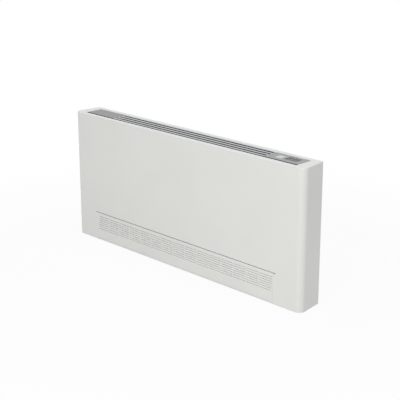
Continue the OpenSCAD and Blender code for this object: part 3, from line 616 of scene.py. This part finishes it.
# Drawn metal: fine lines along the bar with a slight change of brightness and polish
drawn_lines, given = new_group("drawn_lines", skin_outputs, Vector=None, Colour=(0.7, 0.7, 0.7, 1),
                               Contrast=0.06, Roughness=0.35)
along = node(drawn_lines, "Mapping", None, Vector=given["Vector"], Scale=(3.0, 900.0, 900.0)).outputs[0]
lines = noise(drawn_lines, along, 1.0, 3.0, 0.6)
smear = noise(drawn_lines, given["Vector"], 14.0)
rub = reckon(drawn_lines, "ADD", spread(drawn_lines, smear, -0.06, 0.06), given["Roughness"])
put_out(drawn_lines, Colour=tint(drawn_lines, given["Colour"], lines, given["Contrast"]), Roughness=rub, Height=lines)


def drawn(name, colour, contrast, roughness, metallic=1.0):
    """Metal with fine drawn lines."""
    material, tree, shader, place = new_material(name, metallic=metallic)
    skin = use_group(tree, drawn_lines, Vector=place, Colour=colour, Contrast=contrast, Roughness=roughness)
    clothe(tree, shader, skin, 0.15, grain_depth)
    return material


def dress(material, *names):
    """Gives CAD nodes their material."""
    for name in names:
        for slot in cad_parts[name].material_slots:
            slot.material = material


anodised = drawn("anodised_bars", anodised_grey, 0.05, 0.36, 0.85)
for row in range(strip_row + 1):
    y = plate_y0 + row * bar_pitch
    depth, web_in, web_z = (bar_w, (bar_w - bar_web) / 2, web_low) if row < strip_row else (strip_w, bar_taper, seat_z)
    bar = new_box("bar", (-end_x + end_t, y, bar_z - bar_cap), (end_x - end_t, y + depth, bar_z))
    for edge_y in (y, y + depth):
        pick(bar, "EDGE", lambda p: abs(p.y - edge_y) < near and p.z < bar_z - bar_cap + near)
        round_off(bar_taper, 1)
    soften(bar, 0.0003, 3)
    web = new_box("web", (-web_x, y + web_in, web_z), (web_x, y + web_in + bar_web, bar_z - bar_cap / 2))
    soften(web, 0.0002)
    if row:
        add_to(bars, bar)
        add_to(webs, web)
    else:
        bars, webs = bar, web
bars.name = bars.data.name = "outlet_bar_set"
webs.name = webs.data.name = "outlet_web_set"
hand_over(bars, anodised, "cabinet", "aluminium", "outlet_bars")

end_y1 = recess_y1 - 0.0003
end_z1 = bar_z - 0.0001
ends = new_box("outlet_end_plates", (end_x - end_t, plate_y0, seat_z), (end_x, end_y1, end_z1))
add_to(ends, new_box("other", (-end_x, plate_y0, seat_z), (-end_x + end_t, end_y1, end_z1)))
soften(ends, 0.0003)
hand_over(ends, anodised, "cabinet", "aluminium", "outlet_ends")
# The webs get a black colour as painted shade between the bars.
hand_over(webs, drawn("web_painted_shade", web_shade_black, 0.05, 0.6, 0.0), "cabinet", "aluminium")
dress(drawn("rod_metal", rod_grey, 0.04, 0.3), "outlet_tie_rods")

# Top plates: two shallow moulded lids in grey, the left one plain over the water connections, the right one
# with the openings for the display and the keys. A strip of black rubber along their front edge is painted shade, so
# that the gap in front of them reads dark.
plate_skin = 0.0018
plate_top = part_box("control_plate")[1].z
# The plates' paler edge colours below are painted highlights along their edges.
left_grey = (0.275, 0.275, 0.275, 1)
left_edge_highlight = (0.5, 0.5, 0.5, 1)
control_grey = (0.27, 0.285, 0.282, 1)
control_edge_highlight = (0.6, 0.61, 0.61, 1)
window_low, window_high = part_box("display_window")
keys_low, keys_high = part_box("keypad_frame")

def new_lid(name, low, high):
    """A shallow open-bottomed lid with rounded upright corners and a softened upper edge."""
    lid = new_box(name, low, high)
    round_uprights(lid, 0.0012)
    pick(lid, "EDGE", lambda p: p.z > high.z - near)
    round_off(0.0007, 3)
    pick(lid, "FACE", lambda p: p.z < low.z + near)
    bpy.ops.mesh.delete(type="FACE")
    thicken(lid, plate_skin)
    return lid


plain_plate = new_lid("left_plate_lid", *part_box("left_top_plate"))
left_material = moulded("left_plate_grey", left_grey, 0.5, highlight_colour=left_edge_highlight)
hand_over(plain_plate, left_material, "cabinet", "grey_plastic", "left_top_plate")

control_low, control_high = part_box("control_plate")
control = new_lid("control_plate_lid", Vector((control_low.x, control_low.y, seat_z)), control_high)
for low, high, margin, round_by in ((window_low, window_high, 0.0003, 0.002), (keys_low, keys_high, 0, 0.003)):
    carve(control, (low.x - margin, low.y - margin, plate_top - 0.01),
          (high.x + margin, high.y + margin, plate_top + 0.01), round_by)
soften(control, 0.0003, 2, 60)
control_material = moulded("control_plate_grey", control_grey, 0.38, highlight_colour=control_edge_highlight,
                           Coat_Weight=0.15, Coat_Roughness=0.2)
hand_over(control, control_material, "cabinet", "grey_plastic", "control_plate")
# The gap seal is dressed in black rubber as painted shade, so that the front gap reads dark.
dress(black_rubber_and_gap_shade, "gap_seal")

# Display: a clear moulded window over a pale panel, with its corners rounded. It lies flush with the control
# plate, in the plate's own opening, and is held from below.
pane_grey = (0.46, 0.49, 0.485, 1)
pane_round = 0.0018
pane = new_box("display_pane", window_low, window_high)
round_uprights(pane, pane_round)
soften(pane, 0.0003)
pane_material = moulded("display_pane", pane_grey, 0.2, 300.0, 0.02, Coat_Weight=0.8, Coat_Roughness=0.05)
hand_over(pane, pane_material, "cabinet", "window", "display_window")

# Keypad: a rounded field with two long keys for less and more, four square keys for power, mode, fan and
# timer. Each key is moulded and printed with its sign.
field_grey = (0.27, 0.285, 0.282, 1)
key_grey = (0.05, 0.052, 0.055, 1)
sign_pale = (0.55, 0.57, 0.57, 1)
# The field's and the keys' paler edge colours below are painted highlights along their edges.
field_edge_highlight = (0.4, 0.41, 0.41, 1)
key_edge_highlight = (0.12, 0.125, 0.13, 1)
key_drop = 0.00012
key_flange = 0.0012
key_gap = 0.0004
sign_height = key_drop * 1.5
sign_step = 0.000015
key_names = ("minus", "plus", "power", "mode", "fan", "timer")
field = new_box("keypad_field", keys_low, keys_high)
round_uprights(field, 0.003, 5)
for name in key_names:
    low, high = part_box("key_" + name)
    inset = key_flange - key_gap
    carve(field, (low.x + inset, low.y + inset, low.z), (high.x - inset, high.y - inset, high.z + 0.01), 0.0016)
soften(field, 0.0003, 2, 60)
field_material = moulded("keypad_field_grey", field_grey, 0.42, highlight_colour=field_edge_highlight)
hand_over(field, field_material, "cabinet", "dark_plastic", "keypad_frame")

key_material = moulded("key_dark_grey", key_grey, 0.4, 1800.0, 0.2, highlight_colour=key_edge_highlight)
sign_material = moulded("key_sign_print", sign_pale, 0.55, 2500.0, 0.1)


def sign_bar(x, y, length, width, turn=0.0, under=0):
    """One printed stroke of a sign, as a thin plate, a little lower where it runs under others."""
    stroke = new_box("stroke", (x - length / 2, y - width / 2, 0),
                     (x + length / 2, y + width / 2, sign_height - under * sign_step))
    turn_all(stroke, turn, "Z", (x, y, 0))
    return stroke


def sign_ring(x, y, radius, width, gap=0.0):
    """A printed ring, open at its top where the sign asks for it."""
    ring = new_piece("ring", bpy.ops.mesh.primitive_circle_add, vertices=28, radius=radius, location=(x, y, 0))
    pick(ring, "EDGE")
    pull(0, 0, 0)
    inner = (radius - width) / radius
    resize((x, y, 0), inner, inner, 1)
    if gap:
        pick(ring, "FACE", lambda p: abs(p.x - x) < gap and p.y > y)
        bpy.ops.mesh.delete(type="FACE")
    modify(ring, "SOLIDIFY", thickness=sign_height, offset=1)
    return ring


for name in key_names:
    low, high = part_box("key_" + name)
    x, y = (low.x + high.x) / 2, (low.y + high.y) / 2
    cap = new_box("key_" + name + "_top", (low.x + key_flange, low.y + key_flange, high.z - 0.0028),
                  (high.x - key_flange, high.y - key_flange, high.z - key_drop))
    round_uprights(cap, 0.0013)
    soften(cap, 0.0005, 3)
    add_to(cap, new_box("foot", (low.x, low.y, low.z + 0.0003), (high.x, high.y, low.z + 0.0013)))
    hand_over(cap, key_material, "key_" + name + "_cap", "key_plastic", "key_" + name)
    if name == "minus":
        sign = sign_bar(x, y, 0.0034, 0.0008)
    elif name == "plus":
        sign = sign_bar(x, y, 0.0034, 0.0008)
        add_to(sign, sign_bar(x, y, 0.0008, 0.0034, under=1))
    elif name == "power":
        sign = sign_ring(x, y, 0.0040, 0.0009, 0.0014)
        add_to(sign, sign_bar(x, y + 0.0028, 0.0009, 0.0038, under=1))
    elif name == "mode":
        sign = sign_bar(x, y, 0.0088, 0.0008)
        for under, turn in ((1, math.pi / 3), (2, -math.pi / 3)):
            add_to(sign, sign_bar(x, y, 0.0088, 0.0008, turn, under))
    elif name == "fan":
        sign = sign_ring(x, y, 0.0012, 0.0007)
        for turn in range(3):
            angle = turn * 2 * math.pi / 3 + math.pi / 2
            add_to(sign, sign_bar(x + 0.0029 * math.cos(angle), y + 0.0029 * math.sin(angle), 0.0034, 0.0022,
                                  angle + 0.5, turn + 1))
    else:
        sign = sign_ring(x, y, 0.0042, 0.0009)
        add_to(sign, sign_bar(x + 0.0009, y, 0.0022, 0.0008))
        add_to(sign, sign_bar(x, y + 0.0012, 0.0008, 0.0028, under=1))
    pick(sign, "VERT")
    bpy.ops.transform.translate(value=(0, 0, high.z - sign_height))
    leave_edit()
    sign.name = sign.data.name = "sign_" + name
    hand_over(sign, sign_material, "key_" + name + "_cap", "key_plastic")

# Status lens: a small clear dome between the two long keys, moulded in one with its light guide and pressed into
# the control plate from below.
lens_pale = (0.75, 0.78, 0.76, 1)
lens_r = 0.0016
low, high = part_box("key_minus")
lens_x = (high.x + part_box("key_plus")[0].x) / 2
lens_y = (low.y + high.y) / 2 - 0.004
lens = new_piece("status_lens", bpy.ops.mesh.primitive_uv_sphere_add, segments=20, ring_count=12, radius=lens_r,
                 location=(lens_x, lens_y, plate_top - 0.0011))
slice_at(lens, (0, 0, plate_top - 0.0004), (0, 0, 1), clear_inner=True, use_fill=True)
lens_material = moulded("status_lens", lens_pale, 0.2, 300.0, 0.02, Coat_Weight=0.6, Coat_Roughness=0.1)
hand_over(lens, lens_material, "cabinet", "window")

# Galvanised works: wall frame, rails, bulkheads, brackets, guides and tray are folded zinc-coated sheet,
# with the coating's dull crystals still showing.
zinc_bloom, given = new_group("zinc_bloom", skin_outputs, Vector=None, Colour=(0.6, 0.6, 0.6, 1),
                              Crystal=90.0, Roughness=0.42)
warp = node(zinc_bloom, "TexNoise", None, Vector=given["Vector"], Scale=30.0, Detail=2.0).outputs[1]
bent = node(zinc_bloom, "VectorMath", {"operation": "MULTIPLY_ADD"}, i0=warp, i1=(0.02, 0.02, 0.02),
            i2=given["Vector"]).outputs[0]
cells = node(zinc_bloom, "TexVoronoi", None, Vector=bent, Scale=given["Crystal"]).outputs["Color"]
tone = node(zinc_bloom, "SeparateColor", None, Color=cells).outputs[0]
stain = noise(zinc_bloom, given["Vector"], 6.0, 4.0)
shade = reckon(zinc_bloom, "ADD", spread(zinc_bloom, tone, 0.94, 1.05, 0.0, 1.0),
               spread(zinc_bloom, stain, -0.05, 0.04))
rub = reckon(zinc_bloom, "ADD", spread(zinc_bloom, tone, -0.06, 0.08, 0.0, 1.0), given["Roughness"])
put_out(zinc_bloom, Colour=scale_colour(zinc_bloom, given["Colour"], shade), Roughness=rub, Height=stain)


def zinc_coated(name, colour, crystal, roughness, metallic=0.8):
    """Zinc-coated sheet with its crystals."""
    material, tree, shader, place = new_material(name, metallic=metallic)
    skin = use_group(tree, zinc_bloom, Vector=place, Colour=colour, Crystal=crystal, Roughness=roughness)
    clothe(tree, shader, skin, 0.1, 0.0003)
    return material


sheet_zinc = (0.60, 0.62, 0.63, 1)
screw_zinc = (0.62, 0.62, 0.6, 1)
dress(zinc_coated("galvanised_sheet", sheet_zinc, 90.0, 0.42), "back_panel", "frame_rails", "bulkhead_left",
      "bulkhead_right", "pipe_plate", "hinge_brackets", "coil_end_plates", "condensate_tray", "rear_guide",
      "front_guide", "motor_bracket")
dress(zinc_coated("bright_zinc", screw_zinc, 400.0, 0.3, 1.0), "frame_screws", "lid_screws", "fan_bearing",
      "motor_shaft")

# Coil: copper tubes expanded into thin aluminium fins, with soldered return bends. Its headers end in brass
# unions, an air vent and a drain cock.
copper_bright = (0.80, 0.42, 0.26, 1)
copper_dull = (0.36, 0.19, 0.12, 1)
brass_bright = (0.78, 0.60, 0.30, 1)
brass_dull = (0.42, 0.31, 0.16, 1)
fin_silver = (0.75, 0.77, 0.78, 1)
tarnish, given = new_group("tarnish", skin_outputs, Vector=None, Bright=(0.8, 0.5, 0.3, 1),
                           Dull=(0.4, 0.25, 0.18, 1), Roughness=0.35)
blotch = noise(tarnish, given["Vector"], 38.0, 5.0, 0.65)
fine = noise(tarnish, given["Vector"], 700.0)
amount = spread(tarnish, blotch, 0.0, 0.75, 0.42, 0.72)
rub = reckon(tarnish, "ADD", reckon(tarnish, "MULTIPLY", amount, 0.25), given["Roughness"])
put_out(tarnish, Colour=mix_colours(tarnish, amount, given["Bright"], given["Dull"]), Roughness=rub, Height=fine)


def tarnished(name, bright, dull, roughness):
    """Bare copper or brass, dulled in patches."""
    material, tree, shader, place = new_material(name, metallic=1.0)
    skin = use_group(tree, tarnish, Vector=place, Bright=bright, Dull=dull, Roughness=roughness)
    clothe(tree, shader, skin, 0.1, grain_depth)
    return material


dress(tarnished("copper_tube", copper_bright, copper_dull, 0.28), "coil_tubes")
dress(tarnished("brass_fittings", brass_bright, brass_dull, 0.3), "flow_pipe", "return_pipe", "air_vent",
      "drain_cock")
dress(drawn("fin_foil", fin_silver, 0.04, 0.3, 0.9), "coil_fins")

# Fan and motor: the crossflow fan is moulded in black plastic round steel ends, and the motor's shell is
# enamelled. Both sit in rubber rings so that no hum reaches the casing.
dress(moulded("fan_black", (0.03, 0.031, 0.033, 1), 0.45, 800.0, 0.3), "crossflow_fan")
dress(moulded("motor_enamel", (0.07, 0.073, 0.08, 1), 0.35, 500.0, 0.2, Coat_Weight=0.3, Coat_Roughness=0.3), "fan_motor")
dress(black_rubber_and_gap_shade, "motor_rubber", "bearing_rubber", "cable_grommet")

# Filter: a moulded frame with a woven net, carried in the channels behind the intake grille. The tray's spout is
# of the same plastic, and the magnet catches by the filter are enamelled.
net_black = (0.09, 0.095, 0.1, 1)
net_pitch = 0.0011
frame_grey = (0.06, 0.063, 0.068, 1)
magnet_grey = (0.08, 0.08, 0.085, 1)
net_weave, given = new_group("net_weave", ("Mask", "Height"), Vector=None, Pitch=net_pitch)
parts = node(net_weave, "SeparateXYZ", None, Vector=given["Vector"]).outputs
threads = []
for axis in (0, 2):
    phase = reckon(net_weave, "DIVIDE", parts[axis], given["Pitch"])
    threads.append(spread(net_weave, reckon(net_weave, "PINGPONG", phase, 0.5), 1.0, 0.0, 0.16, 0.26))
woven = reckon(net_weave, "MAXIMUM", *threads)
put_out(net_weave, Mask=woven, Height=woven)
net_material, tree, shader, place = new_material("filter_net", roughness=0.7, Base_Color=net_black)
weave = use_group(tree, net_weave, Vector=place, Pitch=net_pitch)
fill(tree, shader, {"Alpha": weave["Mask"]})
emboss(tree, shader, weave["Height"], 0.4, 0.0002)
dress(net_material, "filter_mesh")
dress(moulded("filter_frame_grey", frame_grey, 0.5), "filter_frame", "drain_spout")
dress(moulded("magnet_enamel", magnet_grey, 0.4), "magnet_catches")

# Electrical parts: a pale moulded box with its lid on the wall frame, the terminal block inside, and the
# green board with the key switches under the control plate.
dress(moulded("box_plastic", (0.62, 0.62, 0.59, 1), 0.5), "electrical_box", "electrical_lid", "terminal_block")
dress(moulded("board_green", (0.02, 0.11, 0.05, 1), 0.3, 200.0, 0.1, Coat_Weight=0.4, Coat_Roughness=0.15), "circuit_board")

# Studio: a pale floor and a white surround, both shown as white to the eye and to gloss, with the floor darker
# under the unit. One broad lamp stands before the unit's right end, and a soft sky shines from above.
footprint = cad_high - Vector((0.02, 0, 0))


def seen_white(tree):
    """1 for rays from the camera, from gloss and through glass."""
    path = node(tree, "LightPath").outputs
    seen = reckon(tree, "MAXIMUM", path["Is Camera Ray"], path["Is Glossy Ray"])
    return reckon(tree, "MAXIMUM", seen, path["Is Transmission Ray"])


bpy.ops.object.select_all(action="DESELECT")
bpy.ops.mesh.primitive_plane_add(size=40, location=(0, 0, 0))
floor = bpy.context.object
floor.name = "studio_floor"
floor_material = bpy.data.materials.new("studio_floor")
tree = bare_tree(floor_material)
spot = node(tree, "TexCoord").outputs["Object"]
length = node(tree, "VectorMath", {"operation": "LENGTH"}, i0=spot).outputs["Value"]
bright = spread(tree, length, 0.93, 1.0, 0.9, 1.8)
aside = node(tree, "VectorMath", {"operation": "ABSOLUTE"}, i0=spot).outputs[0]
aside = node(tree, "SeparateXYZ", None, Vector=aside).outputs
past_x = spread(tree, aside[0], 0.0, 1.0, footprint.x - 0.02, footprint.x)
past_y = spread(tree, aside[1], 0.0, 1.0, footprint.y - 0.01, footprint.y)
open_floor = spread(tree, reckon(tree, "MAXIMUM", past_x, past_y), 0.15, 1.0, 0.0, 1.0)
share = reckon(tree, "MULTIPLY", seen_white(tree), reckon(tree, "MULTIPLY", bright, open_floor))
matt = node(tree, "BsdfDiffuse", None, Color=(0.66, 0.66, 0.66, 1)).outputs[0]
glow = node(tree, "Emission", None, Color=(1, 1, 1, 1), Strength=1.0).outputs[0]
both = node(tree, "MixShader", None, i0=share, i1=matt, i2=glow)
node(tree, "OutputMaterial", None, Surface=both.outputs[0])
floor.data.materials.append(floor_material)
floor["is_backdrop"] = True

world = bpy.data.worlds.new("studio")
bpy.context.scene.world = world
tree = bare_tree(world)
soft = node(tree, "Background", None, Color=(1, 1, 1, 1), Strength=0.40).outputs[0]
white = node(tree, "Background", None, Color=(1, 1, 1, 1), Strength=1.0).outputs[0]
both = node(tree, "MixShader", None, i0=seen_white(tree), i1=soft, i2=white)
node(tree, "OutputWorld", None, Surface=both.outputs[0])

lamp = bpy.data.lights.new("front_lamp", "AREA")
lamp.energy = 37
lamp.size = 1.6
front_lamp = bpy.data.objects.new("front_lamp", lamp)
front_lamp.location = (1.5, -3.0, 1.6)
front_lamp.rotation_euler = (Vector((0.3, 0, 0.3)) - front_lamp.location).to_track_quat("-Z", "Y").to_euler()
lamp = bpy.data.lights.new("sky_lamp", "SUN")
lamp.energy = 1.3
lamp.angle = math.radians(70)
sky_lamp = bpy.data.objects.new("sky_lamp", lamp)
sky_lamp.rotation_euler = Vector((-0.7, 0.5, -3)).to_track_quat("-Z", "Y").to_euler()
for holder in (front_lamp, sky_lamp):
    bpy.context.scene.collection.objects.link(holder)

# Camera at the photograph's viewing angle: front right and a little from above, with no shift
camera_data = bpy.data.cameras.new("camera")
camera = bpy.data.objects.new("camera", camera_data)
bpy.context.scene.collection.objects.link(camera)
yaw, pitch, roll = -0.7846, 0.3117, -0.0007
ahead = Vector((math.sin(yaw) * math.cos(pitch), math.cos(yaw) * math.cos(pitch), -math.sin(pitch)))
right = Vector((math.cos(yaw), -math.sin(yaw), 0))
upward = right.cross(ahead)
turned_right = right * math.cos(roll) + upward * math.sin(roll)
turned_up = upward * math.cos(roll) - right * math.sin(roll)
pose = Matrix((turned_right, turned_up, -ahead)).transposed().to_4x4()
pose.translation = (2.99813, -2.93997, 1.64588)
camera.matrix_world = pose
camera_data.sensor_width = 36
camera_data.lens = 94.145
camera_data.clip_end = 100
bpy.context.scene.camera = camera
bpy.context.scene.view_settings.view_transform = "Standard"

low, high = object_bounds()
